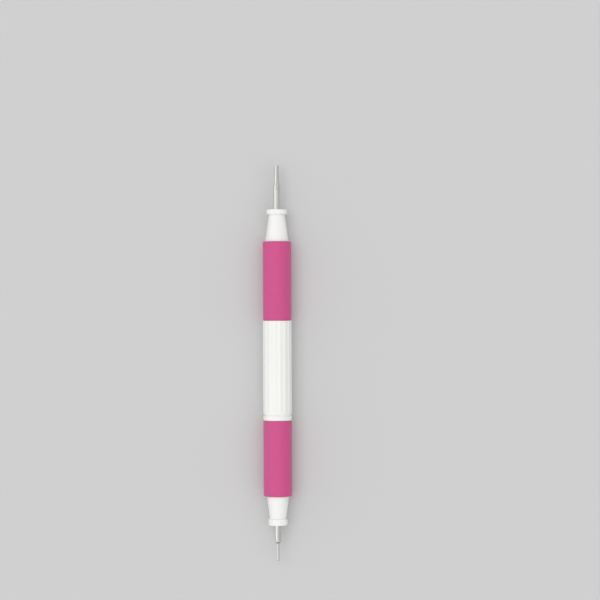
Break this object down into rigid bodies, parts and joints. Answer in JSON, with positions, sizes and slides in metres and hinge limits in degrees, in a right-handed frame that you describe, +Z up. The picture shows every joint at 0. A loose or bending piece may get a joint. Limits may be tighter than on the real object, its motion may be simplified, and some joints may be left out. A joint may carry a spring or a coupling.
{
  "type": "quilling tool",
  "caption": "Double-ended quilling tool with a slotted steel tip, a ball-ended applicator tip, two soft grips and a fluted plastic barrel.",
  "frame": {"origin": "under the middle of the tool's length, on the surface that it lies on", "axes": "+Y along the tool towards the slotted tip, +Z up, +X to the right when the slotted tip points away"},
  "size_m": [0.011, 0.1516, 0.011],
  "materials": {
    "white_plastic": "moulded, satin gloss",
    "pink_rubber": "moulded thermoplastic rubber, matt",
    "steel": "turned wire, bright"
  },
  "bodies": {
    "root": {"barrel": "white_plastic", "upper_nose": "white_plastic", "lower_nose": "white_plastic", "upper_grip": "pink_rubber", "lower_grip": "pink_rubber", "slotted_tip": "steel", "applicator_tip": "steel"}
  },
  "joints": []
}
